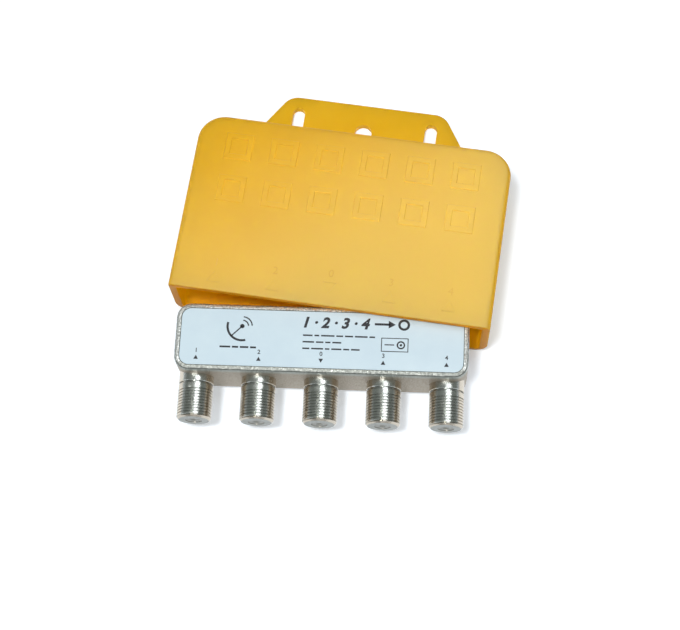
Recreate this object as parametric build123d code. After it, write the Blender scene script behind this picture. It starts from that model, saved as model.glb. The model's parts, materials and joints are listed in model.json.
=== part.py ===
from build123d import *
import math
import os

# Satellite antenna switch: a die-cast box with five threaded coaxial ports, drawn most of the way
# out of the plastic rain hood that covers it on a wall or mast, and left slightly skewed in its mouth.
#
# Lengths are in millimetres. The hood lies on its back. X runs across it, Y from its open mouth to
# its fixing tab, Z up through its front panel. The origin is the centre of the tab's screw hole on
# the back plane. The switch has a frame of its own: X along the box, Y from the ports to the far
# side, Z from its lid to its label, with its origin in the middle of the back plane of the box.

# Switch box, a zinc die casting that is open at the back
BOX_WIDTH = 79.1
BOX_HEIGHT = 18.7
BOX_DEPTH = 15.7
BOX_WALL = 1.6
BOX_FRONT_WALL = 1.5
BOX_CORNER_RADIUS = 4.0
BOX_EDGE_CHAMFER = 0.5
BOARD_LEDGE_WIDTH = 3.2
BOARD_LEDGE_REACH = 1.8

# Rear lid, pressed from sheet metal and seated in a rebate of the box
LID_THICKNESS = 0.8
LID_SEAT_WIDTH = 0.8
LID_SETBACK = 0.2
LID_CLEARANCE = 0.05
LID_PANEL_MARGIN = 3.0
LID_PANEL_DEPTH = 0.3
LID_PANEL_RADIUS = 1.5

# Front label, a film in a shallow recess of the box
LABEL_THICKNESS = 0.15
LABEL_RECESS_DEPTH = 0.25
LABEL_MARGIN = 1.25
LABEL_CLEARANCE = 0.2

# Ports, five turned barrels along the lower side of the box
RECEIVER_PORT = "receiver"
PORT_NAMES = ("1", "2", RECEIVER_PORT, "3", "4")
PORT_END_MARGIN = 5.55
PORT_AXIS_DEPTH = 7.9
BARREL_LENGTH = 12.05
THREAD_DIAMETER = 9.4
THREAD_CHAMFER = 0.6
COLLAR_LENGTH = 2.0
GROOVE_WIDTH = 0.5
GROOVE_DEPTH = 0.45
SHANK_OVERHANG = 0.4
SHANK_CLEARANCE = 0.03
BARREL_BORE = 6.6

# Port insulator, a moulded plug with a hole for the cable's inner wire and a pocket for the contact
INSULATOR_CLEARANCE = 0.05
INSULATOR_RECESS = 0.3
INSULATOR_FLOOR = 2.2
WIRE_HOLE = 1.3

# Port contact, two spring leaves on a foot, with a flat tail that is soldered to the board
LEAF_THICKNESS = 0.3
LEAF_GAP = 0.7
LEAF_LENGTH = 6.0
CONTACT_FOOT = 1.0
CONTACT_CLEARANCE = 0.1
CONTACT_SPRING_ROOM = 0.3
TAIL_WIDTH = 1.2
TAIL_THICKNESS = 0.4
TAIL_LANDING = 2.4

# Circuit board
BOARD_THICKNESS = 1.0
BOARD_CLEARANCE = 0.4
BOARD_CORNER_RADIUS = 2.6

# Parts on the board: length, width and height of each
CHIP_LENGTH = 8.6
CHIP_BODY_WIDTH = 3.9
CHIP_BODY_HEIGHT = 1.4
CHIP_STANDOFF = 0.2
CHIP_SPAN = 6.0
CHIP_LEG_WIDTH = 0.42
CHIP_LEG_PITCH = 1.27
CHIP_LEG_THICKNESS = 0.25
CHIP_LEG_FOOT = 0.7
CHIP_LEGS_PER_SIDE = 7
REGULATOR_LENGTH = 4.5
REGULATOR_WIDTH = 2.5
REGULATOR_HEIGHT = 1.5
REGULATOR_TAB_WIDTH = 1.6
REGULATOR_TAB_REACH = 0.9
REGULATOR_TAB_THICKNESS = 0.4
CAN_DIAMETER = 5.0
CAN_HEIGHT = 5.0
CAN_BASE_WIDTH = 5.3
CAN_BASE_HEIGHT = 0.6
CAN_EDGE_CHAMFER = 0.3
CHOKE_WIDTH = 3.2
CHOKE_WINDING = 2.6
CHOKE_HEIGHT = 2.6
CHOKE_FLANGE = 0.5
DIODE_LENGTH = 1.8
DIODE_WIDTH = 1.25
DIODE_HEIGHT = 0.9
TRANSISTOR_LENGTH = 2.9
TRANSISTOR_WIDTH = 1.3
TRANSISTOR_HEIGHT = 1.0
CAPACITOR_LENGTH = 2.0
CAPACITOR_WIDTH = 1.25
CAPACITOR_HEIGHT = 0.8
CAPACITOR_TAIL_GAP = 1.2
RESISTOR_LENGTH = 1.6
RESISTOR_WIDTH = 0.8
RESISTOR_HEIGHT = 0.45

# Places on the board, as shares of its width and height from its middle
CHIP_PLACE_SHARES = (0.113, 0.2)
REGULATOR_PLACE_SHARES = (-0.16, 0.27)
CAN_PLACE_SHARES = (0.34, 0.1)
CHOKE_ROW_SHARE = -0.12
DIODE_ROW_SHARE = 0.11
TRANSISTOR_ROW_SHARE = 0.26
TRANSISTOR_COLUMN_SHARES = (-0.43, -0.3, 0.24, 0.44)
CAPACITOR_ROW_SHARE = -0.36
RESISTOR_ROW_SHARE = 0.42
RESISTOR_COLUMN_SHARES = (-0.42, -0.24, -0.06, 0.0, 0.42)

# Rain hood, one moulding round the box with room for the cable plugs
HOOD_WALL = 2.1
SIDE_CLEARANCE = 2.35
SEAT_CLEARANCE = 0.3
FRONT_CLEARANCE = 1.1
END_CLEARANCE = 0.5
SKIRT_LENGTH = 18.45
END_CORNER_RADIUS = 7.5
BACK_EDGE_RADIUS = 5.0
BACK_INNER_CHAMFER = 0.8
FRONT_EDGE_RADIUS = 2.0
RIM_CHAMFER = 0.3

# Fixing tab, which carries on from the hood's back wall
TAB_THICKNESS = 2.1
TAB_LENGTH = 17.4
TAB_TOP_WIDTH = 45.5
TAB_SLANT_ANGLE = 57.0
TAB_CORNER_RADIUS = 5.0
TAB_EDGE_CHAMFER = 0.3
TAB_HOLE_DIAMETER = 5.0
TAB_HOLE_FROM_TOP = 8.8
STRAP_SLOT_WIDTH = 3.5
STRAP_SLOT_LENGTH = 8.0
STRAP_SLOT_SPACING = 39.0
STRAP_SLOT_FROM_TOP = 3.6

# Relief on the front panel, two rows of nested squares with drafted sides
SQUARE_COLUMNS = 6
SQUARE_ROWS = 2
SQUARE_SIDE_MARGIN = 8.3
SQUARE_FROM_END = 9.3
SQUARE_OUTER = 7.9
SQUARE_INNER = 4.4
SQUARE_HEIGHT = 0.35
SQUARE_DRAFT_ANGLE = 30.0

# Where the switch lies at rest: drawn out from its seat, off the middle line, and skewed
SKEW_ANGLE = 6.48
DRAWN_OUT = 48.6
SHIFT_ACROSS = -0.3

# How far every cutter runs past the face that it cuts
OVERRUN = 1.0

# Turns in degrees
QUARTER_TURN = 90
HALF_TURN = 180

# Sizes that follow from the ones above
hood_width = BOX_WIDTH + 2 * (SIDE_CLEARANCE + HOOD_WALL)
square_pitch = (hood_width - 2 * SQUARE_SIDE_MARGIN - SQUARE_OUTER) / (SQUARE_COLUMNS - 1)
hood_depth = BOX_DEPTH + SEAT_CLEARANCE + FRONT_CLEARANCE + 2 * HOOD_WALL
hood_length = HOOD_WALL + END_CLEARANCE + BOX_HEIGHT + BARREL_LENGTH + SKIRT_LENGTH
end_y = TAB_HOLE_FROM_TOP - TAB_LENGTH
mouth_y = end_y - hood_length
seated_y = end_y - HOOD_WALL - END_CLEARANCE - BOX_HEIGHT / 2
lower_y = -BOX_HEIGHT / 2
axis_z = BOX_DEPTH - PORT_AXIS_DEPTH
inside_z = BOX_DEPTH - BOX_FRONT_WALL
lid_rebate = LID_THICKNESS + LID_SETBACK
barrel_reach_in = BOX_WALL + SHANK_OVERHANG
insulator_y = INSULATOR_RECESS - BARREL_LENGTH
port_pitch = (BOX_WIDTH - 2 * PORT_END_MARGIN) / (len(PORT_NAMES) - 1)
contact_height = LEAF_GAP + 2 * LEAF_THICKNESS
board_top_z = axis_z - TAIL_THICKNESS / 2
board_low_y = lower_y + barrel_reach_in + BOARD_CLEARANCE
board_high_y = BOX_HEIGHT / 2 - BOX_WALL - BOARD_CLEARANCE
board_width = BOX_WIDTH - 2 * (BOX_WALL + BOARD_CLEARANCE)
board_height = board_high_y - board_low_y
board_y = (board_high_y + board_low_y) / 2
port_xs = [(i - (len(PORT_NAMES) - 1) / 2) * port_pitch for i in range(len(PORT_NAMES))]
switch_place = Pos(SHIFT_ACROSS, seated_y - DRAWN_OUT, HOOD_WALL + SEAT_CLEARANCE) * Rot(0, 0, SKEW_ANGLE)


def revolved(points):
    """Turn a closed outline of (radius, y) points about the Y axis."""
    outline = Polyline(*points, close=True)
    return revolve(make_face(outline), axis=Axis.Y)


def closed_edges(solid, face_at):
    """Find the edges of the top or bottom face of a hood block, apart from the edge at its mouth."""
    return solid.faces().sort_by(Axis.Z)[face_at].edges().sort_by(Axis.Y)[1:]


def hood_block(width, low_y, high_y, low_z, high_z, corner_radius):
    """Make a block whose two upright corners at the closed end are round."""
    outline = Pos(0, (low_y + high_y) / 2) * Rectangle(width, high_y - low_y)
    outline = fillet(outline.vertices().group_by(Axis.Y)[-1], corner_radius)
    return Pos(0, 0, low_z) * extrude(outline, amount=high_z - low_z)


def fixing_tab():
    """Make the flat tab, with a round screw hole and two upright slots for a strap."""
    slant_run = TAB_LENGTH / math.tan(math.radians(TAB_SLANT_ANGLE))
    top = TAB_HOLE_FROM_TOP
    half_top = TAB_TOP_WIDTH / 2
    half_base = half_top + slant_run
    outline = make_face(
        Polyline(
            (-half_base, end_y - BACK_EDGE_RADIUS),
            (half_base, end_y - BACK_EDGE_RADIUS),
            (half_base, end_y),
            (half_top, top),
            (-half_top, top),
            (-half_base, end_y),
            close=True,
        )
    )
    outline = fillet(outline.vertices().group_by(Axis.Y)[-1], TAB_CORNER_RADIUS)
    tab = extrude(outline, amount=TAB_THICKNESS)
    rim = [e for e in tab.faces().sort_by(Axis.Z)[-1].edges() if e.center().Y > end_y]
    return chamfer(rim, TAB_EDGE_CHAMFER)


def tab_cuts():
    """Make the cutters of the screw hole and of the strap slots."""
    slot_y = TAB_HOLE_FROM_TOP - STRAP_SLOT_FROM_TOP - STRAP_SLOT_LENGTH / 2
    cuts = Sketch() + Circle(TAB_HOLE_DIAMETER / 2)
    for side in (-1, 1):
        slot = SlotOverall(STRAP_SLOT_LENGTH, STRAP_SLOT_WIDTH, rotation=QUARTER_TURN)
        cuts += Pos(side * STRAP_SLOT_SPACING / 2, slot_y) * slot
    return Pos(0, 0, -OVERRUN) * extrude(cuts, amount=TAB_THICKNESS + 2 * OVERRUN)


def square_relief():
    """Make the raised square frames that stand on the front panel."""
    frame = Rectangle(SQUARE_OUTER, SQUARE_OUTER) - Rectangle(SQUARE_INNER, SQUARE_INNER)
    one = extrude(frame, amount=SQUARE_HEIGHT, taper=SQUARE_DRAFT_ANGLE)
    frames = []
    for row in range(SQUARE_ROWS):
        y = end_y - SQUARE_FROM_END - row * square_pitch
        for column in range(SQUARE_COLUMNS):
            x = (column - (SQUARE_COLUMNS - 1) / 2) * square_pitch
            frames.append(Pos(x, y, hood_depth) * one)
    return frames


def weather_cover():
    """Make the rain hood: front, back, sides and closed end in one wall, with the tab and the relief."""
    block = hood_block(hood_width, mouth_y, end_y, 0, hood_depth, END_CORNER_RADIUS)
    block = fillet(closed_edges(block, -1), FRONT_EDGE_RADIUS)
    block = fillet(closed_edges(block, 0), BACK_EDGE_RADIUS)
    rim = block.faces().sort_by(Axis.Y)[0].edges()
    block = chamfer(rim, RIM_CHAMFER)
    cavity = hood_block(
        hood_width - 2 * HOOD_WALL,
        mouth_y - OVERRUN,
        end_y - HOOD_WALL,
        HOOD_WALL,
        hood_depth - HOOD_WALL,
        END_CORNER_RADIUS - HOOD_WALL,
    )
    cavity = chamfer(closed_edges(cavity, 0), BACK_INNER_CHAMFER)
    cover = block + fixing_tab() - cavity - tab_cuts()
    for frame in square_relief():
        cover += frame
    return cover


def switch_housing():
    """Make the cast box: label recess in front, open back with a lid rebate, port holes, board ledges."""
    box = extrude(RectangleRounded(BOX_WIDTH, BOX_HEIGHT, BOX_CORNER_RADIUS), amount=BOX_DEPTH)
    box = chamfer(box.faces().sort_by(Axis.Z)[-1].edges(), BOX_EDGE_CHAMFER)
    inner = RectangleRounded(
        BOX_WIDTH - 2 * BOX_WALL, BOX_HEIGHT - 2 * BOX_WALL, BOX_CORNER_RADIUS - BOX_WALL
    )
    box -= Pos(0, 0, -OVERRUN) * extrude(inner, amount=inside_z + OVERRUN)
    seat_inset = BOX_WALL - LID_SEAT_WIDTH
    seat = RectangleRounded(
        BOX_WIDTH - 2 * seat_inset, BOX_HEIGHT - 2 * seat_inset, BOX_CORNER_RADIUS - seat_inset
    )
    box -= Pos(0, 0, -OVERRUN) * extrude(seat, amount=lid_rebate + OVERRUN)
    recess = RectangleRounded(
        BOX_WIDTH - 2 * LABEL_MARGIN, BOX_HEIGHT - 2 * LABEL_MARGIN, BOX_CORNER_RADIUS - LABEL_MARGIN
    )
    box -= Pos(0, 0, BOX_DEPTH - LABEL_RECESS_DEPTH) * extrude(recess, amount=LABEL_RECESS_DEPTH + OVERRUN)
    for side_x in (-1, 1):
        for side_y in (-1, 1):
            x = side_x * (port_xs[-1] + port_xs[-2]) / 2
            y = side_y * (BOX_HEIGHT / 2 - BOX_WALL - BOARD_LEDGE_REACH / 2)
            ledge = Pos(x, y) * Rectangle(BOARD_LEDGE_WIDTH, BOARD_LEDGE_REACH)
            box += Pos(0, 0, board_top_z) * extrude(ledge, amount=inside_z - board_top_z)
    hole_radius = THREAD_DIAMETER / 2 + SHANK_CLEARANCE
    for x in port_xs:
        hole = Cylinder(hole_radius, BOX_WALL + 2 * OVERRUN, rotation=(QUARTER_TURN, 0, 0))
        box -= Pos(x, lower_y + BOX_WALL / 2, axis_z) * hole
    return box


def rear_lid():
    """Make the pressed lid, with its middle panel pushed inwards."""
    inset = BOX_WALL - LID_SEAT_WIDTH + LID_CLEARANCE
    sheet = RectangleRounded(BOX_WIDTH - 2 * inset, BOX_HEIGHT - 2 * inset, BOX_CORNER_RADIUS - inset)
    lid = Pos(0, 0, LID_SETBACK) * extrude(sheet, amount=LID_THICKNESS)
    panel_inset = inset + LID_PANEL_MARGIN
    panel = RectangleRounded(BOX_WIDTH - 2 * panel_inset, BOX_HEIGHT - 2 * panel_inset, LID_PANEL_RADIUS)
    lid -= Pos(0, 0, LID_SETBACK - OVERRUN) * extrude(panel, amount=OVERRUN + LID_PANEL_DEPTH)
    raised = RectangleRounded(
        BOX_WIDTH - 2 * panel_inset - 2 * LID_THICKNESS,
        BOX_HEIGHT - 2 * panel_inset - 2 * LID_THICKNESS,
        LID_PANEL_RADIUS - LID_THICKNESS,
    )
    lid += Pos(0, 0, LID_SETBACK + LID_THICKNESS) * extrude(raised, amount=LID_PANEL_DEPTH)
    return lid


def front_label():
    """Make the label film, which lies on the floor of its recess."""
    inset = LABEL_MARGIN + LABEL_CLEARANCE
    film = RectangleRounded(BOX_WIDTH - 2 * inset, BOX_HEIGHT - 2 * inset, BOX_CORNER_RADIUS - inset)
    return Pos(0, 0, BOX_DEPTH - LABEL_RECESS_DEPTH) * extrude(film, amount=LABEL_THICKNESS)


def port_barrel():
    """Make one barrel on the Y axis: a shank through the wall, collar, groove, thread and chamfer."""
    thread = THREAD_DIAMETER / 2
    groove = thread - GROOVE_DEPTH
    groove_low = -COLLAR_LENGTH - GROOVE_WIDTH
    return revolved(
        [
            (BARREL_BORE / 2, barrel_reach_in),
            (thread, barrel_reach_in),
            (thread, -COLLAR_LENGTH),
            (groove, -COLLAR_LENGTH),
            (groove, groove_low),
            (thread, groove_low),
            (thread, THREAD_CHAMFER - BARREL_LENGTH),
            (thread - THREAD_CHAMFER, -BARREL_LENGTH),
            (BARREL_BORE / 2, -BARREL_LENGTH),
        ]
    )


def port_insulator():
    """Make one insulator on the Y axis: a plug that fills the barrel, with a hole and a pocket."""
    body = BARREL_BORE / 2 - INSULATOR_CLEARANCE
    plug = revolved(
        [
            (WIRE_HOLE / 2, barrel_reach_in),
            (body, barrel_reach_in),
            (body, insulator_y),
            (WIRE_HOLE / 2, insulator_y),
        ]
    )
    floor_y = insulator_y + INSULATOR_FLOOR
    length = barrel_reach_in - floor_y + OVERRUN
    width = TAIL_WIDTH + 2 * CONTACT_CLEARANCE
    height = contact_height + 2 * (CONTACT_CLEARANCE + CONTACT_SPRING_ROOM)
    return plug - Pos(0, floor_y + length / 2, 0) * Box(width, length, height)


def port_contact():
    """Make one contact along the Y axis: leaves either side of the wire, a foot, and a tail."""
    low = insulator_y + INSULATOR_FLOOR + CONTACT_CLEARANCE
    high = low + LEAF_LENGTH + CONTACT_FOOT
    contact = Pos(0, high - CONTACT_FOOT / 2, 0) * Box(TAIL_WIDTH, CONTACT_FOOT, contact_height)
    leaf = Pos(0, low + LEAF_LENGTH / 2, (LEAF_GAP + LEAF_THICKNESS) / 2) * Box(
        TAIL_WIDTH, LEAF_LENGTH, LEAF_THICKNESS
    )
    contact += leaf
    contact += mirror(leaf, about=Plane.XY)
    tail_end = barrel_reach_in + BOARD_CLEARANCE + TAIL_LANDING
    tail_length = tail_end - high
    return contact + Pos(0, high + tail_length / 2, 0) * Box(TAIL_WIDTH, tail_length, TAIL_THICKNESS)


def circuit_board():
    """Make the board, which stands on the ledges of the box."""
    outline = RectangleRounded(board_width, board_height, BOARD_CORNER_RADIUS)
    return Pos(0, board_y, board_top_z - BOARD_THICKNESS) * extrude(outline, amount=BOARD_THICKNESS)


def on_board(x_share, y_share):
    """Give the place on top of the board that is at these shares of its width and height."""
    return Pos(x_share * board_width, board_y + y_share * board_height, board_top_z)


def block_on_board(length, width, height):
    """Make a small block that stands on the plane of the board's top."""
    return extrude(Rectangle(length, width), amount=height)


def controller_chip():
    """Make the controller, with gull-wing legs along both long sides."""
    body = block_on_board(CHIP_LENGTH, CHIP_BODY_WIDTH, CHIP_BODY_HEIGHT - CHIP_STANDOFF)
    chip = Pos(0, 0, CHIP_STANDOFF) * body
    knee = CHIP_BODY_HEIGHT / 2 + CHIP_STANDOFF
    leg_out = CHIP_SPAN / 2
    outline = make_face(
        Polyline(
            (CHIP_BODY_WIDTH / 2 - CHIP_LEG_THICKNESS, knee),
            (leg_out - CHIP_LEG_FOOT, knee),
            (leg_out - CHIP_LEG_FOOT, CHIP_LEG_THICKNESS),
            (leg_out, CHIP_LEG_THICKNESS),
            (leg_out, 0),
            (leg_out - CHIP_LEG_FOOT - CHIP_LEG_THICKNESS, 0),
            (leg_out - CHIP_LEG_FOOT - CHIP_LEG_THICKNESS, knee - CHIP_LEG_THICKNESS),
            (CHIP_BODY_WIDTH / 2 - CHIP_LEG_THICKNESS, knee - CHIP_LEG_THICKNESS),
            close=True,
        )
    )
    leg = extrude(Plane.YZ * outline, amount=CHIP_LEG_WIDTH / 2, both=True)
    for i in range(CHIP_LEGS_PER_SIDE):
        x = (i - (CHIP_LEGS_PER_SIDE - 1) / 2) * CHIP_LEG_PITCH
        for turn in (0, HALF_TURN):
            chip += Pos(x, 0, 0) * Rot(0, 0, turn) * leg
    return on_board(*CHIP_PLACE_SHARES) * chip


def voltage_regulator():
    """Make the regulator, with its wide cooling tab."""
    body = block_on_board(REGULATOR_LENGTH, REGULATOR_WIDTH, REGULATOR_HEIGHT)
    tab = block_on_board(REGULATOR_TAB_WIDTH, REGULATOR_WIDTH + 2 * REGULATOR_TAB_REACH, REGULATOR_TAB_THICKNESS)
    return on_board(*REGULATOR_PLACE_SHARES) * (body + tab)


def smoothing_capacitor():
    """Make the electrolytic can on its square base."""
    base = block_on_board(CAN_BASE_WIDTH, CAN_BASE_WIDTH, CAN_BASE_HEIGHT)
    can = extrude(Circle(CAN_DIAMETER / 2), amount=CAN_HEIGHT)
    can = chamfer(can.faces().sort_by(Axis.Z)[-1].edges(), CAN_EDGE_CHAMFER)
    return on_board(*CAN_PLACE_SHARES) * (base + can)


def wound_choke():
    """Make one choke: two square ferrite flanges and the winding between them."""
    flange = block_on_board(CHOKE_WIDTH, CHOKE_WIDTH, CHOKE_FLANGE)
    winding = block_on_board(CHOKE_WINDING, CHOKE_WINDING, CHOKE_HEIGHT)
    return flange + winding + Pos(0, 0, CHOKE_HEIGHT - CHOKE_FLANGE) * flange


def at_ports(piece, y_share, shift=0):
    """Stand a copy of a piece on the board in line with each port, or shifted to one side of it."""
    return [on_board((x + shift) / board_width, y_share) * piece for x in port_xs]


def port_chokes():
    """Make the chokes, one behind each port."""
    return Compound(children=at_ports(wound_choke(), CHOKE_ROW_SHARE))


def switching_diodes():
    """Make the switching diodes, one behind the choke of each port but the receiver's."""
    row = at_ports(block_on_board(DIODE_WIDTH, DIODE_LENGTH, DIODE_HEIGHT), DIODE_ROW_SHARE)
    return Compound(children=[diode for name, diode in zip(PORT_NAMES, row) if name != RECEIVER_PORT])


def switching_transistors():
    """Make the transistors that feed the ports."""
    block = block_on_board(TRANSISTOR_LENGTH, TRANSISTOR_WIDTH, TRANSISTOR_HEIGHT)
    return Compound(children=[on_board(x, TRANSISTOR_ROW_SHARE) * block for x in TRANSISTOR_COLUMN_SHARES])


def chip_capacitors():
    """Make the ceramic capacitors, one each side of every contact's tail."""
    block = block_on_board(CAPACITOR_WIDTH, CAPACITOR_LENGTH, CAPACITOR_HEIGHT)
    shift = (TAIL_WIDTH + CAPACITOR_WIDTH) / 2 + CAPACITOR_TAIL_GAP
    left = at_ports(block, CAPACITOR_ROW_SHARE, -shift)
    right = at_ports(block, CAPACITOR_ROW_SHARE, shift)
    return Compound(children=left + right)


def chip_resistors():
    """Make the resistors along the far edge of the board."""
    block = block_on_board(RESISTOR_LENGTH, RESISTOR_WIDTH, RESISTOR_HEIGHT)
    return Compound(children=[on_board(x, RESISTOR_ROW_SHARE) * block for x in RESISTOR_COLUMN_SHARES])


def switch_pieces():
    """Make every piece of the switch in the switch's own frame, by node name."""
    pieces = {
        "switch_housing": switch_housing(),
        "rear_lid": rear_lid(),
        "front_label": front_label(),
        "circuit_board": circuit_board(),
        "controller_chip": controller_chip(),
        "voltage_regulator": voltage_regulator(),
        "smoothing_capacitor": smoothing_capacitor(),
        "port_chokes": port_chokes(),
        "switching_diodes": switching_diodes(),
        "switching_transistors": switching_transistors(),
        "chip_capacitors": chip_capacitors(),
        "chip_resistors": chip_resistors(),
    }
    barrel = port_barrel()
    insulator = port_insulator()
    contact = port_contact()
    for name, x in zip(PORT_NAMES, port_xs):
        place = Pos(x, lower_y, axis_z)
        pieces[f"port_barrel_{name}"] = place * barrel
        pieces[f"port_insulator_{name}"] = place * insulator
        pieces[f"port_contact_{name}"] = place * contact
    return pieces


def main():
    """Build the whole object and write one file for each node."""
    os.makedirs("parts", exist_ok=True)
    pieces = {"weather_cover": weather_cover()}
    for name, piece in switch_pieces().items():
        pieces[name] = switch_place * piece
    for name, piece in pieces.items():
        export_step(piece, f"parts/{name}.step")
    print(f"{len(pieces)} nodes, hood {hood_width:.1f} x {hood_length:.1f} x {hood_depth:.1f} mm")


main()
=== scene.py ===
import json
import logging
import math
from dataclasses import dataclass, field
from enum import Enum

import bmesh
import bpy
from mathutils import Euler, Matrix, Vector
from mathutils.bvhtree import BVHTree


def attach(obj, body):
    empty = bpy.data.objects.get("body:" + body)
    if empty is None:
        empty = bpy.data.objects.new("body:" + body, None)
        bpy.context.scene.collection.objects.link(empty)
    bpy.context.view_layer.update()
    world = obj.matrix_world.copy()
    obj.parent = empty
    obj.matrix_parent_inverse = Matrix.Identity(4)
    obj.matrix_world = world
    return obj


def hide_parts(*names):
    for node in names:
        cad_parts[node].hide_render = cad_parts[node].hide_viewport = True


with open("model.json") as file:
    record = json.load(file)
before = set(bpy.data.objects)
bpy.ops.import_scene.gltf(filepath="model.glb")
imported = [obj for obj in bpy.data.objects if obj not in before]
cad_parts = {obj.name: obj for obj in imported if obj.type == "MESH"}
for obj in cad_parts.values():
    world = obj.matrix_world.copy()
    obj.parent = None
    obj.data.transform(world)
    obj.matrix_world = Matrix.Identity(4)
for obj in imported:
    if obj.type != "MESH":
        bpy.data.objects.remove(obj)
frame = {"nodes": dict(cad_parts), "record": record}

# A satellite antenna switch: a die-cast box with five threaded ports, drawn out of its moulded rain hood.
# Meshes are modelled in millimetres and placed in the row frame, in metres.

Tree = bpy.types.NodeTree
Socket = bpy.types.NodeSocket
Material = bpy.types.Material
Shape = bmesh.types.BMesh
Triple = tuple[float, float, float]

LOG = logging.getLogger("satellite_switch")
MM = 0.001
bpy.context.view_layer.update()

# The sRGB curve: a straight foot up to a limit, then a power of the shifted value
FULL_BYTE = 255
FOOT_LIMIT = 0.04045
FOOT_SLOPE = 12.92
CURVE_SHIFT = 0.055
CURVE_POWER = 2.4
# What the noise texture's output mostly lies between
NOISE_LOW = 0.3
NOISE_HIGH = 0.7
# How many finer layers each use of the noise has
MOTTLE_DETAIL = 4
GLOSS_DETAIL = 3
GRAIN_DETAIL = 2
WAVE_DETAIL = 0
# The Mix node's colour sockets, which share their names with others
MIX_SHARE = 0
MIX_FIRST = 6
MIX_SECOND = 7
MIX_RESULT = 2
# Settings that several nodes share
COLOUR_MIX = {"data_type": "RGBA"}
SMOOTH = {"interpolation_type": "SMOOTHSTEP"}
MULTIPLY = {"operation": "MULTIPLY"}
DOT_PRODUCT = {"operation": "DOT_PRODUCT"}
# Half the side of a unit square
HALF = 0.5
FULL_TURN = 360
HALF_TURN = 180
UP = (0.0, 0.0, 1.0)
ALONG = (0.0, 1.0, 0.0)
# How sharply a painted band starts, and how deep the painted shadow in the label's seat reaches
BAND_EDGE_MM = 0.02
SEAT_BAND_MM = 0.1
MERGE_MM = 0.002
# Layers of an imported mesh that would keep its old shading
NORMAL_LAYERS = ("custom_normal", "sharp_edge", "sharp_face")
# The number of the port whose arrow points away from the box, because it is the output
OUTPUT = "0"
# How tall a figure is for a font size of one, and how many pieces a stretch of its outline has
FIGURE_SHARE = 0.69
FIGURE_PIECES = 3
# Attributes of a barrel's points: how deep in the thread, from 0 on a crest to 1 at the root, which sets
# the painted shade in the valleys, and how far it faces sideways, full on the end, which sets the painted
# warm reflection
VALLEY = "valley"
WARM_REFLECTION = "warm_reflection"
# Attributes of the hood's faces: those that look at its own far walls, which get a painted glow, and those
# of its mouth's edge, which get painted shade
PAINTED_GLOW = "painted_glow"
MOUTH_SHADE = "edge"
# How far off the far walls are at least
CAVITY_MM = 12.0
# The angle in degrees past which an edge stays sharp, on most pieces and on moulded ones
CREASE = 35.0
MOULDED_CREASE = 50.0


class Body(Enum):
    """The two moving bodies of the frame."""

    COVER = "cover"
    SWITCH = "switch"


class Slot(Enum):
    """The record's material slots, listed beside the new pieces."""

    HOOD = "hood_plastic"
    ZINC = "cast_zinc"
    NICKEL = "nickel"
    LID = "lid_sheet"
    LABEL = "label_film"
    INSULATOR = "insulator_plastic"


def mount(name: str) -> dict[str, object]:
    """Find one of the record's mounts by its name."""
    return next(found for found in frame["record"]["mounts"] if found["name"] == name)


# The way in which every port points
PORT_WAY = tuple(mount("port_receiver")["axis"])


def linear(hex_colour: str) -> tuple[float, float, float, float]:
    """Turn an sRGB hex colour into linear light by the sRGB curve.

    Args:
        hex_colour: Six hex digits after a hash sign.

    Returns:
        Red, green, blue and an alpha of one.
    """
    channels = []
    for start in (1, 3, 5):
        value = int(hex_colour[start : start + 2], 16) / FULL_BYTE
        above_foot = ((value + CURVE_SHIFT) / (1 + CURVE_SHIFT)) ** CURVE_POWER
        channels.append(value / FOOT_SLOPE if value <= FOOT_LIMIT else above_foot)
    return (*channels, 1.0)


def add_node(
    tree: Tree,
    kind: str,
    settings: dict[str, object] | None = None,
    inputs: dict[str | int, object] | None = None,
) -> bpy.types.Node:
    """Add one node with its settings, its values and its incoming links.

    Args:
        tree: The node tree that gets the node.
        kind: The shader node's type, without the prefix that all of them share.
        settings: Properties of the node itself.
        inputs: What each input gets, by name or number: a value, or the output socket that it is linked to.

    Returns:
        The new node.
    """
    node = tree.nodes.new(f"ShaderNode{kind}")
    for name, value in (settings or {}).items():
        setattr(node, name, value)
    for name, value in (inputs or {}).items():
        if isinstance(value, Socket):
            tree.links.new(value, node.inputs[name])
        else:
            node.inputs[name].default_value = value
    return node


def empty_tree(owner: Material | bpy.types.World) -> Tree:
    """Give a material or a world an empty node tree.

    Args:
        owner: The material or the world.

    Returns:
        Its node tree.
    """
    owner.use_nodes = True
    owner.node_tree.nodes.clear()
    return owner.node_tree


def noise_level(tree: Tree, grain_mm: float, detail: float, low: float = 0.0, high: float = 1.0) -> Socket:
    """Add noise with grains of a real size, spread between two levels.

    Args:
        tree: The node tree that gets the nodes.
        grain_mm: The size of one grain in millimetres.
        detail: How many finer layers the noise has.
        low: The level of the darkest grains.
        high: The level of the brightest grains.

    Returns:
        The socket that carries the level.
    """
    place = add_node(tree, "TexCoord")
    noise = add_node(
        tree,
        "TexNoise",
        inputs={"Scale": 1 / (grain_mm * MM), "Detail": detail, "Vector": place.outputs["Object"]},
    )
    span = {"From Min": NOISE_LOW, "From Max": NOISE_HIGH, "To Min": low, "To Max": high}
    spread = add_node(tree, "MapRange", inputs={"Value": noise.outputs["Fac"], **span})
    return spread.outputs["Result"]


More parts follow.
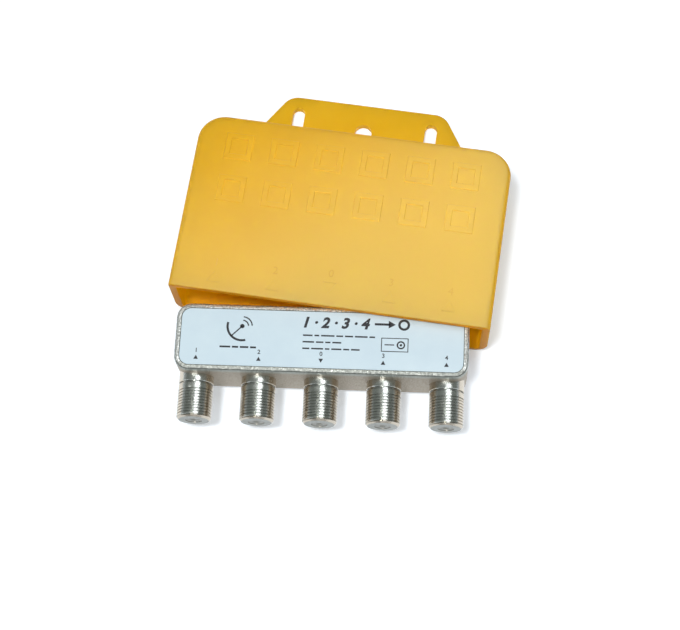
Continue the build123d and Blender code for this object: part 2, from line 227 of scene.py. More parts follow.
def ramp_along(tree: Tree, way: Triple, start_mm: float, end_mm: float, full: float = 1.0) -> Socket:
    """Add a ramp from 0 up to its full share between two places along one direction of the row frame.

    Args:
        tree: The node tree that gets the nodes.
        way: The direction, of any length over zero.
        start_mm: Where the ramp is 0.
        end_mm: Where the ramp is full. It may lie before the start.
        full: The full share.

    Returns:
        The socket that carries the ramp.
    """
    place = add_node(tree, "TexCoord")
    axis = Vector(way).normalized()
    along = add_node(tree, "VectorMath", settings=DOT_PRODUCT, inputs={0: place.outputs["Object"], 1: axis})
    span = {"From Min": start_mm * MM, "From Max": end_mm * MM, "To Max": full}
    ramp = add_node(tree, "MapRange", settings=SMOOTH, inputs={"Value": along.outputs["Value"], **span})
    return ramp.outputs["Result"]


def band_up(tree: Tree, start_mm: float, middle_mm: float, end_mm: float, full: float = 1.0) -> Socket:
    """Add a level band that is full from its start to its middle and fades to 0 at its end.

    Args:
        tree: The node tree that gets the nodes.
        start_mm: How high the band starts.
        middle_mm: How high it begins to fade.
        end_mm: How high it is gone.
        full: The full share.

    Returns:
        The socket that carries the band.
    """
    rise = ramp_along(tree, UP, start_mm, start_mm + BAND_EDGE_MM, full)
    fade = ramp_along(tree, UP, middle_mm, end_mm, full)
    less = {"operation": "SUBTRACT", "use_clamp": True}
    return add_node(tree, "Math", settings=less, inputs={0: rise, 1: fade}).outputs[0]


@dataclass(frozen=True)
class Finish:
    """What every finish shares: a mottled colour, an uneven gloss and a fine grain."""

    name: str
    # The mottle's two colours and the size of its patches
    colours: tuple[str, str]
    mottle_mm: float
    # The least and the greatest roughness
    roughness: tuple[float, float]
    # How wide and how high a grain is
    grain_mm: tuple[float, float]
    metallic: float = 0.0
    ior: float = 1.5

    def build(self) -> Material:
        """Make the material.

        Returns:
            The material, ready to be given to a piece.
        """
        material = bpy.data.materials.new(self.name)
        tree = empty_tree(material)
        shader = add_node(tree, "BsdfPrincipled", inputs={"Metallic": self.metallic})
        if not self.metallic:
            shader.inputs["IOR"].default_value = self.ior
        gloss = noise_level(tree, self.mottle_mm, GLOSS_DETAIL, *self.roughness)
        tree.links.new(self.paint(tree), shader.inputs["Base Color"])
        tree.links.new(gloss, shader.inputs["Roughness"])
        tree.links.new(self.relief(tree), shader.inputs["Normal"])
        self.tune(shader)
        add_node(tree, "OutputMaterial", inputs={"Surface": shader.outputs["BSDF"]})
        return material

    def paint(self, tree: Tree) -> Socket:
        """Lay the coats over the finish's own colour, each over the ones before it.

        Args:
            tree: The material's node tree.

        Returns:
            The socket that carries the colour.
        """
        below = linear(self.colours[0])
        for share, coat in self.coats(tree):
            colours = {MIX_FIRST: below, MIX_SECOND: linear(coat), MIX_SHARE: share}
            below = add_node(tree, "Mix", settings=COLOUR_MIX, inputs=colours).outputs[MIX_RESULT]
        return below

    def coats(self, tree: Tree) -> list[tuple[Socket, str]]:
        """List the coats, each with its share and its colour: here only the mottle."""
        return [(noise_level(tree, self.mottle_mm, MOTTLE_DETAIL), self.colours[1])]

    def relief(self, tree: Tree) -> Socket:
        """Raise the fine grain.

        Args:
            tree: The material's node tree.

        Returns:
            The socket that carries the normal.
        """
        width, height = self.grain_mm
        grain = noise_level(tree, width, GRAIN_DETAIL)
        bump = add_node(tree, "Bump", inputs={"Distance": height * MM, "Height": grain})
        return bump.outputs["Normal"]

    def tune(self, shader: bpy.types.Node) -> None:
        """Set what only some finishes have: nothing on a plain one."""


@dataclass(frozen=True)
class MouldedPolypropylene(Finish):
    """Injection-moulded polypropylene: light soaks through its wall. Its front is painted paler as a sheen,
    its inner walls brighter as a painted glow, and its sides, steps and mouth's edge darker as painted
    shade.
    """

    # The tab gets a brighter yellow than the hood's sides and edges, whose darker base yellow is painted
    # shade.
    tab_colour: str = "#E9B31C"
    tab_mottle_colour: str = "#EDB824"
    tab_start_mm: float = -8.5
    tab_end_mm: float = -5.0
    # The front is painted paler towards the mouth: a painted sheen.
    sheen_colour: str = "#EBC25F"
    sheen_way: Triple = (0.6, -0.8, 0.0)
    sheen_start_mm: float = -18.0
    sheen_end_mm: float = 48.0
    front_low_mm: float = 20.7
    front_high_mm: float = 21.25
    # The relief's steps are painted darker: painted shade on their walls.
    relief_shade_colour: str = "#D0972A"
    relief_shade_share: float = 0.42
    relief_low_mm: float = 21.32
    relief_high_mm: float = 21.6
    relief_top_mm: float = 21.64
    # Faces that look at the far walls are painted bright orange: a painted glow of light through the wall.
    painted_glow_colour: str = "#FFAE18"
    # The mouth's edge faces are painted darker orange: painted shade.
    mouth_shade_colour: str = "#D48A0E"
    wave_mm: float = 16.0
    wave_height_mm: float = 0.05
    gloss_level: float = 0.08
    milkiness: float = 0.66
    milk_depth_mm: Triple = (40.0, 30.0, 1.5)

    def coats(self, tree: Tree) -> list[tuple[Socket, str]]:
        """Give the tab its brighter yellow and paint the rest: a sheen on the front towards the mouth,
        shade on the steps and the mouth's edge, and a glow on the inner walls.

        Args:
            tree: The material's node tree.

        Returns:
            The coats, each with its share and its colour.
        """
        mottle = Finish.coats(self, tree)
        on_tab = ramp_along(tree, ALONG, self.tab_start_mm, self.tab_end_mm)
        front = ramp_along(tree, UP, self.front_low_mm, self.front_high_mm)
        towards_mouth = ramp_along(tree, self.sheen_way, self.sheen_start_mm, self.sheen_end_mm)
        mottled_tab, painted_sheen = [
            add_node(tree, "Math", settings=MULTIPLY, inputs={0: place, 1: strength}).outputs[0]
            for place, strength in ((on_tab, mottle[0][0]), (front, towards_mouth))
        ]
        step = band_up(tree, self.relief_low_mm, self.relief_high_mm, self.relief_top_mm, self.relief_shade_share)
        painted_glow, edge = [
            add_node(tree, "Attribute", settings={"attribute_name": name}).outputs["Fac"]
            for name in (PAINTED_GLOW, MOUTH_SHADE)
        ]
        return [
            *mottle,
            (on_tab, self.tab_colour),
            (mottled_tab, self.tab_mottle_colour),
            (painted_sheen, self.sheen_colour),
            (step, self.relief_shade_colour),
            (painted_glow, self.painted_glow_colour),
            (edge, self.mouth_shade_colour),
        ]

    def relief(self, tree: Tree) -> Socket:
        """Lay the fine grain over the long waves that shrinkage leaves.

        Args:
            tree: The material's node tree.

        Returns:
            The socket that carries the normal.
        """
        wave = noise_level(tree, self.wave_mm, WAVE_DETAIL)
        grain = Finish.relief(self, tree)
        height = self.wave_height_mm * MM
        bump = add_node(tree, "Bump", inputs={"Distance": height, "Height": wave, "Normal": grain})
        return bump.outputs["Normal"]

    def tune(self, shader: bpy.types.Node) -> None:
        """Let light soak through the plastic, red the furthest, and keep its sheen low.

        Args:
            shader: The material's shader.
        """
        shader.subsurface_method = "BURLEY"
        shader.inputs["Specular IOR Level"].default_value = self.gloss_level
        shader.inputs["Subsurface Weight"].default_value = self.milkiness
        shader.inputs["Subsurface Radius"].default_value = self.milk_depth_mm
        shader.inputs["Subsurface Scale"].default_value = MM


@dataclass(frozen=True)
class CastZinc(Finish):
    """Die-cast zinc: a bright rough rim, with painted shade by the ports, a painted warm reflection on the
    sides and a painted shadow in the seat under the film.
    """

    # The rim by the ports is painted duller: painted shade.
    rim_shade_colour: str = "#B0B3AD"
    rim_shade_start_mm: float = 75.6
    rim_shade_end_mm: float = 76.4
    # The sides below the rim are painted a darker warm grey: a painted reflection of dim warm surroundings.
    side_reflection_colour: str = "#A9A092"
    side_mm: float = 15.5
    rim_mm: float = 17.6
    # The seat round the label is painted dark: a painted shadow in the recess.
    seat_shadow_colour: str = "#575B55"
    seat_mm: float = 17.9
    skin_mm: float = 18.0

    def coats(self, tree: Tree) -> list[tuple[Socket, str]]:
        """Paint shade on the rim by the ports, a warm reflection on the sides and a shadow in the seat that
        shows round the label.

        Args:
            tree: The material's node tree.

        Returns:
            The coats, each with its share and its colour.
        """
        rim_shade = ramp_along(tree, PORT_WAY, self.rim_shade_start_mm, self.rim_shade_end_mm)
        low_down = ramp_along(tree, UP, self.rim_mm, self.side_mm)
        seat = band_up(tree, self.seat_mm - SEAT_BAND_MM, self.seat_mm, self.skin_mm)
        return [
            *Finish.coats(self, tree),
            (rim_shade, self.rim_shade_colour),
            (low_down, self.side_reflection_colour),
            (seat, self.seat_shadow_colour),
        ]


@dataclass(frozen=True)
class NickelPlate(Finish):
    """Nickel on turned brass: a cool bright skin, with a painted warm reflection on its flanks and painted
    shade in the thread's valleys and on its end.
    """

    # The flanks and the end are painted warm: a painted reflection of warm surroundings.
    flank_reflection_colour: str = "#D2C8B8"
    flank_start: float = 0.6
    flank_full: float = 0.72
    # The thread's valleys are painted darker: painted shade.
    valley_shade_colour: str = "#2E2B26"
    valley_shade_share: float = 0.16
    # The end is painted darker: painted shade.
    end_shade_colour: str = "#7A7C75"
    end_start: float = 0.85
    end_full: float = 0.95

    def coats(self, tree: Tree) -> list[tuple[Socket, str]]:
        """Paint a warm reflection on the flanks, and shade in the valleys of the thread and on the end.

        Args:
            tree: The material's node tree.

        Returns:
            The coats, each with its share and its colour.
        """
        warm_reflection, valley = [
            add_node(tree, "Attribute", settings={"attribute_name": name}).outputs["Fac"]
            for name in (WARM_REFLECTION, VALLEY)
        ]
        valley_shade = add_node(tree, "Math", settings=MULTIPLY, inputs={0: valley, 1: self.valley_shade_share})
        place = add_node(tree, "TexCoord")
        facing = {0: place.outputs["Normal"], 1: PORT_WAY}
        ahead = add_node(tree, "VectorMath", settings=DOT_PRODUCT, inputs=facing)
        flank, end = [
            add_node(
                tree,
                "MapRange",
                settings=SMOOTH,
                inputs={"Value": level, "From Min": start, "From Max": full},
            ).outputs["Result"]
            for level, start, full in (
                (warm_reflection, self.flank_start, self.flank_full),
                (ahead.outputs["Value"], self.end_start, self.end_full),
            )
        ]
        return [
            *Finish.coats(self, tree),
            (flank, self.flank_reflection_colour),
            (valley_shade.outputs[0], self.valley_shade_colour),
            (end, self.end_shade_colour),
        ]


# Polypropylene, moulded: a satin yellow, darkened on its sides and edges as painted shade. Its grain is
# about 0.1 mm, drawn at 0.5 mm so that it shows.
HOOD_FINISH = MouldedPolypropylene(
    name="moulded_polypropylene",
    colours=("#DCA51F", "#E1AC29"),
    mottle_mm=14.0,
    roughness=(0.37, 0.47),
    grain_mm=(0.5, 0.012),
    ior=1.49,
)
# The same plastic in thin raised signs, too thin to glow: a little deeper in colour than the front with its
# painted sheen.
SIGN_FINISH = Finish(
    name="raised_polypropylene",
    colours=("#E6B54C", "#E1AE44"),
    mottle_mm=HOOD_FINISH.mottle_mm,
    roughness=HOOD_FINISH.roughness,
    grain_mm=HOOD_FINISH.grain_mm,
    ior=HOOD_FINISH.ior,
)
# Zinc, die cast: a pale skin with cold pits about 0.2 mm across, drawn at 0.5 mm so that they show.
ZINC_FINISH = CastZinc(
    name="die_cast_zinc",
    colours=("#F2F5F3", "#B5B9B4"),
    mottle_mm=0.5,
    roughness=(0.4, 0.7),
    grain_mm=(0.5, 0.1),
    metallic=1.0,
)
# Nickel on turned brass: a clear cool shine, with tool marks of 0.1 mm drawn at 0.35 mm so that they show.
NICKEL_FINISH = NickelPlate(
    name="nickel_on_turned_brass",
    colours=("#DADDD8", "#C8CBC5"),
    mottle_mm=2.5,
    roughness=(0.17, 0.29),
    grain_mm=(0.35, 0.01),
    metallic=1.0,
)
# Tinplate, rolled and pressed: a soft grey shine with wide faint clouds.
TINPLATE_FINISH = Finish(
    name="pressed_tinplate",
    colours=("#C6C6C2", "#AFAFAA"),
    mottle_mm=5.0,
    roughness=(0.24, 0.4),
    grain_mm=(0.4, 0.01),
    metallic=1.0,
)
# Polyester film, printed all over in pale blue: nearly flat, with the faint dimples of its glue.
FILM_FINISH = Finish(
    name="printed_polyester_film",
    colours=("#D3E5EE", "#CBDEE9"),
    mottle_mm=9.0,
    roughness=(0.33, 0.43),
    grain_mm=(1.2, 0.01),
    ior=1.57,
)
# Screen ink: a soft black that is thinner in places, and duller than the film under it.
INK_FINISH = Finish(
    name="screen_ink",
    colours=("#16181E", "#23262D"),
    mottle_mm=1.2,
    roughness=(0.42, 0.58),
    grain_mm=(0.3, 0.004),
)
# Polyethylene without dye, moulded: a waxy grey that looks cloudy.
POLYETHYLENE_FINISH = Finish(
    name="natural_polyethylene",
    colours=("#98978F", "#8C8B83"),
    mottle_mm=1.5,
    roughness=(0.35, 0.45),
    grain_mm=(0.3, 0.006),
    ior=1.51,
)
# Spring bronze, rolled and tinned: pale gold where the tin is thin.
BRONZE_FINISH = Finish(
    name="tinned_spring_bronze",
    colours=("#CDB27C", "#B99A5E"),
    mottle_mm=1.0,
    roughness=(0.24, 0.36),
    grain_mm=(0.3, 0.004),
    metallic=1.0,
)
# Glass-epoxy laminate under solder mask: a glossy green, lighter over the copper.
LAMINATE_FINISH = Finish(
    name="solder_masked_laminate",
    colours=("#1F6B3A", "#2C7F49"),
    mottle_mm=1.6,
    roughness=(0.27, 0.43),
    grain_mm=(0.5, 0.02),
    ior=1.55,
)
# Moulding resin with a fine filler: a dead black with a slight tooth.
RESIN_FINISH = Finish(
    name="chip_moulding_resin",
    colours=("#1B1B1D", "#262629"),
    mottle_mm=0.6,
    roughness=(0.52, 0.68),
    grain_mm=(0.15, 0.01),
)
# Aluminium, deep drawn: a pale skin with a gentle shine.
ALUMINIUM_FINISH = Finish(
    name="drawn_aluminium_can",
    colours=("#C9CACC", "#B8B9BC"),
    mottle_mm=1.5,
    roughness=(0.24, 0.36),
    grain_mm=(0.3, 0.006),
    metallic=1.0,
)
# Ferrite, pressed and wound with enamelled wire: black, with brown where the winding shows.
FERRITE_FINISH = Finish(
    name="wound_ferrite",
    colours=("#2C2926", "#4A3A2A"),
    mottle_mm=0.7,
    roughness=(0.55, 0.75),
    grain_mm=(0.2, 0.01),
)
# Ceramic, fired in layers: a matt tan.
CAPACITOR_FINISH = Finish(
    name="layered_ceramic",
    colours=("#A8865C", "#98764C"),
    mottle_mm=0.8,
    roughness=(0.47, 0.63),
    grain_mm=(0.2, 0.006),
)
# A printed resistor film under glaze: a smooth blue black.
RESISTOR_FINISH = Finish(
    name="glazed_thick_film",
    colours=("#1D1F26", "#2A2D36"),
    mottle_mm=0.6,
    roughness=(0.29, 0.41),
    grain_mm=(0.2, 0.004),
)


@dataclass(frozen=True)
class Mark:
    """A flat sign: its place in millimetres and its turn in degrees."""

    x: float
    y: float
    turn: float = field(default=0.0, kw_only=True)

    def shape(self) -> Shape:
        """Make the sign about the origin, which each kind of sign does in its own way."""
        raise NotImplementedError

    def draw(self, sheet: Shape) -> None:
        """Add the sign to a sheet of flat signs.

        Args:
            sheet: The shape that grows.
        """
        sign = self.shape()
        turn = Matrix.Rotation(math.radians(self.turn), 4, "Z")
        sign.transform(Matrix.Translation((self.x, self.y, 0)) @ turn)
        mesh = bpy.data.meshes.new("sign")
        sign.to_mesh(mesh)
        sign.free()
        sheet.from_mesh(mesh)
        bpy.data.meshes.remove(mesh)


@dataclass(frozen=True)
class Strokes(Mark):
    """Straight strokes one after the other, from their place on."""

    width: float
    lengths: tuple[float, ...]
    gap: float = 0.0

    def shape(self) -> Shape:
        """Set the strokes along X.

        Returns:
            The flat strokes.
        """
        bm = bmesh.new()
        start = 0.0
        for length in self.lengths:
            size = Matrix.Diagonal((length, self.width, 1, 1))
            place = Matrix.Translation((start + length / 2, 0, 0)) @ size
            bmesh.ops.create_grid(bm, x_segments=1, y_segments=1, size=HALF, matrix=place)
            start += length + self.gap
        return bm


@dataclass(frozen=True)
class Ring(Mark):
    """A ring, a dot where its inner radius is 0, or an arc where it sweeps over less than a full turn."""

    inner: float
    outer: float
    steps: int
    start: float = 0.0
    sweep: float = FULL_TURN

    def shape(self) -> Shape:
        """Sweep the ring from its start.

        Returns:
            The flat ring.
        """
        bm = bmesh.new()
        ends = [bm.verts.new((radius, 0, 0)) for radius in (self.inner, self.outer)]
        edge = bm.edges.new(ends)
        start = Matrix.Rotation(math.radians(self.start), 3, "Z")
        bmesh.ops.rotate(bm, cent=(0, 0, 0), matrix=start, verts=ends)
        bmesh.ops.spin(
            bm,
            geom=[*ends, edge],
            cent=(0, 0, 0),
            axis=UP,
            angle=math.radians(self.sweep),
            steps=self.steps,
            use_merge=self.sweep >= FULL_TURN,
        )
        return bm


@dataclass(frozen=True)
class Arrow(Mark):
    """A triangle about its middle, filled, or drawn in outline where it has a line."""

    width: float
    height: float
    line: float = 0.0

    def shape(self) -> Shape:
        """Make the triangle with its tip up.

        Returns:
            The flat triangle.
        """
        bm = bmesh.new()
        side, end = self.width / 2, self.height / 2
        corners = ((-side, -end, 0), (side, -end, 0), (0, end, 0))
        face = bm.faces.new([bm.verts.new(corner) for corner in corners])
        if self.line:
            bmesh.ops.inset_region(
                bm, faces=[face], thickness=self.line, use_boundary=True, use_even_offset=True
            )
            bmesh.ops.delete(bm, geom=[face], context="FACES")
        return bm


@dataclass(frozen=True)
class Figures(Mark):
    """Numbers about their middle. Their slant is a share of their height, and weight widens each stroke."""

    text: str
    height: float
    slant: float = 0.0
    weight: float = 0.0

    def shape(self) -> Shape:
        """Set the numbers in Blender's own font.

        Returns:
            The flat figures.
        """
        curve = bpy.data.curves.new("figures", "FONT")
        curve.body = self.text
        curve.size = self.height / FIGURE_SHARE
        curve.shear = self.slant
        curve.offset = self.weight
        curve.align_x = "CENTER"
        curve.resolution_u = FIGURE_PIECES
        holder = bpy.data.objects.new("figures", curve)
        mesh = bpy.data.meshes.new_from_object(holder)
        bpy.data.objects.remove(holder)
        bpy.data.curves.remove(curve)
        bm = bmesh.new()
        bm.from_mesh(mesh)
        bpy.data.meshes.remove(mesh)
        bmesh.ops.remove_doubles(bm, verts=bm.verts[:], dist=MERGE_MM)
        bmesh.ops.translate(bm, verts=bm.verts[:], vec=(0, -self.height / 2, 0))
        return bm


def raise_signs(marks: list[Mark], height: float) -> Shape:
    """Draw flat signs and give them their thickness, upwards from their own plane.

    Args:
        marks: The signs.
        height: How thick they get.

    Returns:
        The closed signs.
    """
    bm = bmesh.new()
    for mark in marks:
        mark.draw(bm)
    result = bmesh.ops.extrude_face_region(bm, geom=bm.faces[:], use_keep_orig=True)
    raised = [item for item in result["geom"] if isinstance(item, bmesh.types.BMVert)]
    bmesh.ops.translate(bm, verts=raised, vec=(0, 0, height))
    bmesh.ops.recalc_face_normals(bm, faces=bm.faces[:])
    return bm


def lathe(outline: tuple[tuple[float, float], ...], steps: int) -> Shape:
    """Turn a closed outline of (radius, y) points about the Y axis.

    Args:
        outline: The points of the outline in order.
        steps: How many steps the turn has.

    Returns:
        The closed turned shape.
    """
    bm = bmesh.new()
    ring = [bm.verts.new((radius, y, 0)) for radius, y in outline]
    edges = [bm.edges.new((ring[i - 1], ring[i])) for i in range(len(ring))]
    bmesh.ops.spin(
        bm, geom=[*ring, *edges], cent=(0, 0, 0), axis=ALONG, angle=math.tau, steps=steps, use_merge=True
    )
    bmesh.ops.remove_doubles(bm, verts=bm.verts[:], dist=MERGE_MM)
    bmesh.ops.recalc_face_normals(bm, faces=bm.faces[:])
    return bm


def merged_node(name: str) -> Shape:
    """Copy a CAD node with its loose triangles joined up.

    Args:
        name: The node's name.

    Returns:
        The copy, in metres in the row frame.
    """
    mesh = frame["nodes"][name].data.copy()
    for layer in [layer.name for layer in mesh.attributes if layer.name in NORMAL_LAYERS]:
        mesh.attributes.remove(mesh.attributes[layer])
    bm = bmesh.new()
    bm.from_mesh(mesh)
    bpy.data.meshes.remove(mesh)
    bmesh.ops.remove_doubles(bm, verts=bm.verts[:], dist=MERGE_MM * MM)
    return bm


def finish_piece(
    name: str,
    bm: Shape,
    material: Material,
    body: Body,
    nodes: tuple[str, ...] = (),
    moulded: bool = False,
) -> None:
    """Turn a finished shape into a piece of the scene.

    Args:
        name: The piece's name.
        bm: Its shape in the row frame, in metres. It is freed.
        material: Its material.
        body: The body that it rides on.
        nodes: The CAD nodes that it stands for.
        moulded: Whether its edges are soft, with large faces that stay flat beside small bevels.
    """
    mesh = bpy.data.meshes.new(name)
    bm.to_mesh(mesh)
    bm.free()
    mesh.shade_smooth()
    mesh.set_sharp_from_angle(angle=math.radians(MOULDED_CREASE if moulded else CREASE))
    mesh.materials.clear()
    mesh.materials.append(material)
    piece = bpy.data.objects.new(name, mesh)
    bpy.context.scene.collection.objects.link(piece)
    if moulded:
        normals = piece.modifiers.new("flat_faces", "WEIGHTED_NORMAL")
        normals.keep_sharp = True
    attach(piece, body.value)
    if nodes:
        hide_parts(*nodes)
    LOG.info("%s: %d faces on %s", name, len(mesh.polygons), body.value)


def dress_node(name: str, material: Material) -> None:
    """Give a CAD node that stays its material.

    Args:
        name: The node's name.
        material: Its material.
    """
    node = frame["nodes"][name]
    if not node.material_slots:
        node.data.materials.append(material)
    for place in node.material_slots:
        place.material = material
    LOG.info("%s: kept from the frame", name)


@dataclass
class SwitchPlace:
    """Where the switch lies, worked out from the ports that the record gives.

    The switch's own frame has X along the box, Y from the ports to the far side and Z from its lid to its
    label, with its origin in the middle of the back plane of the box.
    """

    box_height: float = 18.7
    port_axis_height: float = 7.8
    thread_top: float = 2.5
    thread_end: float = 11.45

    @staticmethod
    def thread_middle(port: str) -> Vector:
        """Find the middle of a port's thread, in metres."""
        return Vector(mount(f"port_{port}")["pos_m"])

    @property
    def matrix(self) -> Matrix:
        """The step from millimetres in the switch's frame to metres in the row frame."""
        along = self.thread_middle("4") - self.thread_middle("1")
        turn = Matrix.Rotation(math.atan2(along.y, along.x), 4, "Z")
        drop = self.box_height / 2 + (self.thread_top + self.thread_end) / 2
        start = self.thread_middle("receiver") + turn @ Vector((0, drop, -self.port_axis_height)) * MM
        return Matrix.Translation(start) @ turn @ Matrix.Scale(MM, 4)

    def port_place(self, port: str) -> Matrix:
        """Give one port's place, on its axis at the lower side of the box, as a step to the row frame."""
        across = (self.matrix.inverted() @ self.thread_middle(port)).x
        return self.matrix @ Matrix.Translation((across, -self.box_height / 2, self.port_axis_height))


@dataclass
class RainHood:
    """The moulded hood with its relief, and the signs that stand over the ports."""

    front_z: float = 21.3
    mouth_y: float = -60.4
    wall: float = 2.1
    # How squarely a face of the mouth's edge looks out of the mouth
    mouth_facing: float = 0.8
    sign_height: float = 0.14
    arrow_width: float = 3.6
    arrow_height: float = 3.1
    arrow_line: float = 0.5
    figure_height: float = 2.1
    # Where each sign stands: its figure, and the arrow's place across and above the mouth
    signs: tuple[tuple[str, float, float], ...] = (
        ("1", -31.75, 3.9),
        ("2", -15.5, 3.7),
        ("0", -0.4, 5.0),
        ("3", 16.0, 4.8),
        ("4", 32.2, 4.6),
    )
    figure_lift: float = 4.2

    def build(self) -> None:
        """Build the shell and its signs."""
        shell = merged_node("weather_cover")
        self.mark_painted_light(shell)
        finish_piece(
            "rain_hood",
            shell,
            HOOD_FINISH.build(),
            Body.COVER,
            nodes=("weather_cover",),
            moulded=True,
        )
        finish_piece("hood_port_signs", self.port_signs(), SIGN_FINISH.build(), Body.COVER)

    def mark_painted_light(self, bm: Shape) -> None:
        """Note the faces that get painted light: those that look at the hood's far walls get a painted
        glow, and the mouth's edge gets painted shade.

        Args:
            bm: The hood's shell, in metres.
        """
        painted_glow = bm.faces.layers.float.new(PAINTED_GLOW)
        edge = bm.faces.layers.float.new(MOUTH_SHADE)
        walls = BVHTree.FromBMesh(bm)
        for face in bm.faces:
            start = face.calc_center_median() + face.normal * MERGE_MM * MM
            *_, distance = walls.ray_cast(start, face.normal)
            far_wall = distance is not None and distance > CAVITY_MM * MM
            at_mouth = face.normal.y < -self.mouth_facing and start.y < (self.mouth_y + self.wall) * MM
            face[edge] = float(at_mouth)
            face[painted_glow] = float(far_wall and not at_mouth)

    def port_signs(self) -> Shape:
        """Make the raised arrows and figures.

        Returns:
            The signs in the row frame, in metres.
        """
        marks: list[Mark] = []
        for figure, x, up in self.signs:
            y = self.mouth_y + up
            turn = HALF_TURN if figure == OUTPUT else 0
            marks.append(Arrow(x, y, self.arrow_width, self.arrow_height, self.arrow_line, turn=turn))
            marks.append(Figures(x, y + self.figure_lift, figure, self.figure_height))
        bm = raise_signs(marks, self.sign_height)
        bm.transform(Matrix.Scale(MM, 4) @ Matrix.Translation((0, 0, self.front_z)))
        return bm


@dataclass
class LabelPrint:
    """What is printed on the film: port numbers, generic signs, and plain strokes for the wording."""

    film_top: float = 15.61
    ink: float = 0.02
    # The number over each port, and how far the port lies from the middle
    ports: tuple[tuple[str, float], ...] = (
        ("1", -33.6),
        ("2", -16.7),
        ("0", 0.0),
        ("3", 16.7),
        ("4", 33.6),
    )
    arrow_y: float = -5.85
    arrow_width: float = 1.25
    figure_y: float = -3.9
    figure_height: float = 1.15
    figure_weight: float = 0.03
    # The row of input numbers, then an arrow to a ring for the output
    title: tuple[Mark, ...] = (
        Figures(3.4, 4.9, "1 · 2 · 3 · 4", height=2.8, slant=0.25, weight=0.16),
        Strokes(14.1, 4.9, width=0.62, lengths=(4.2,)),
        Arrow(18.8, 4.9, width=2.2, height=1.9, turn=-90),
        Ring(22.0, 4.9, inner=0.95, outer=1.6, steps=24),
    )
    # Rows of strokes in the places of the wording
    wording: tuple[Mark, ...] = (
        Strokes(-5.1, 1.2, width=0.42, gap=0.5, lengths=(2.6, 1.3, 3.6, 1.8, 2.2, 3.4, 1.5)),
        Strokes(-5.1, -0.65, width=0.42, gap=0.5, lengths=(3.1, 2.0, 1.4, 2.4)),
        Strokes(-5.1, -2.5, width=0.42, gap=0.5, lengths=(1.9, 3.2, 1.2, 2.7, 1.6, 2.3)),
        Strokes(-27.4, -2.7, width=0.5, gap=0.45, lengths=(2.9, 1.7, 2.3, 1.6)),
    )
    # A jack in a frame: a ring round a dot, and the pin beside it
    jack: tuple[Mark, ...] = (
        Strokes(16.1, -2.65, width=0.22, lengths=(7.1,)),
        Strokes(16.1, 1.05, width=0.22, lengths=(7.1,)),
        Strokes(16.1, -2.75, width=0.22, lengths=(3.9,), turn=90),
        Strokes(23.2, -2.75, width=0.22, lengths=(3.9,), turn=90),
        Ring(21.3, -0.8, inner=0.75, outer=1.15, steps=20),
        Ring(21.3, -0.8, inner=0.0, outer=0.35, steps=12),
        Strokes(16.9, -0.8, width=0.3, lengths=(2.6,)),
    )
    # A dish with its arm, its feed and two waves
    dish: tuple[Mark, ...] = (
        Ring(-21.6, 3.2, inner=3.7, outer=4.3, steps=24, start=165, sweep=120),
        Strokes(-24.4142, 0.3858, width=0.34, lengths=(4.0,), turn=45),
        Ring(-21.6, 3.2, inner=0.0, outer=0.62, steps=16),
        Ring(-21.6, 3.2, inner=1.5, outer=1.84, steps=12, start=5, sweep=80),
        Ring(-21.6, 3.2, inner=2.5, outer=2.84, steps=12, start=5, sweep=80),
    )

    def build(self, place: Matrix) -> None:
        """Print everything on the film.

        Args:
            place: The place of the switch.
        """
        marks = [*self.title, *self.wording, *self.jack, *self.dish]
        for figure, x in self.ports:
            turn = HALF_TURN if figure == OUTPUT else 0
            marks.append(Arrow(x, self.arrow_y, self.arrow_width, self.figure_height, turn=turn))
            marks.append(Figures(x, self.figure_y, figure, self.figure_height, weight=self.figure_weight))
        bm = raise_signs(marks, self.ink)
        bm.transform(place @ Matrix.Translation((0, 0, self.film_top)))
        finish_piece("label_print", bm, INK_FINISH.build(), Body.SWITCH)


@dataclass
class CastBox:
    """The die-cast box with its lid and its label."""

    # Each piece with the node that it stands for, its finish and slot, and whether it is moulded
    pieces: tuple[tuple[str, str, Finish, Slot, bool], ...] = (
        ("cast_box", "switch_housing", ZINC_FINISH, Slot.ZINC, True),
        ("pressed_lid", "rear_lid", TINPLATE_FINISH, Slot.LID, False),
        ("label_sheet", "front_label", FILM_FINISH, Slot.LABEL, False),
    )

    def build(self, place: Matrix) -> None:
        """Build the box, the lid, the label and its print.

        Args:
            place: The place of the switch.
        """
        for name, node, finish, slot, moulded in self.pieces:
            finish_piece(
                name, merged_node(node), finish.build(), Body.SWITCH, nodes=(node,), moulded=moulded
            )
        LabelPrint().build(place)


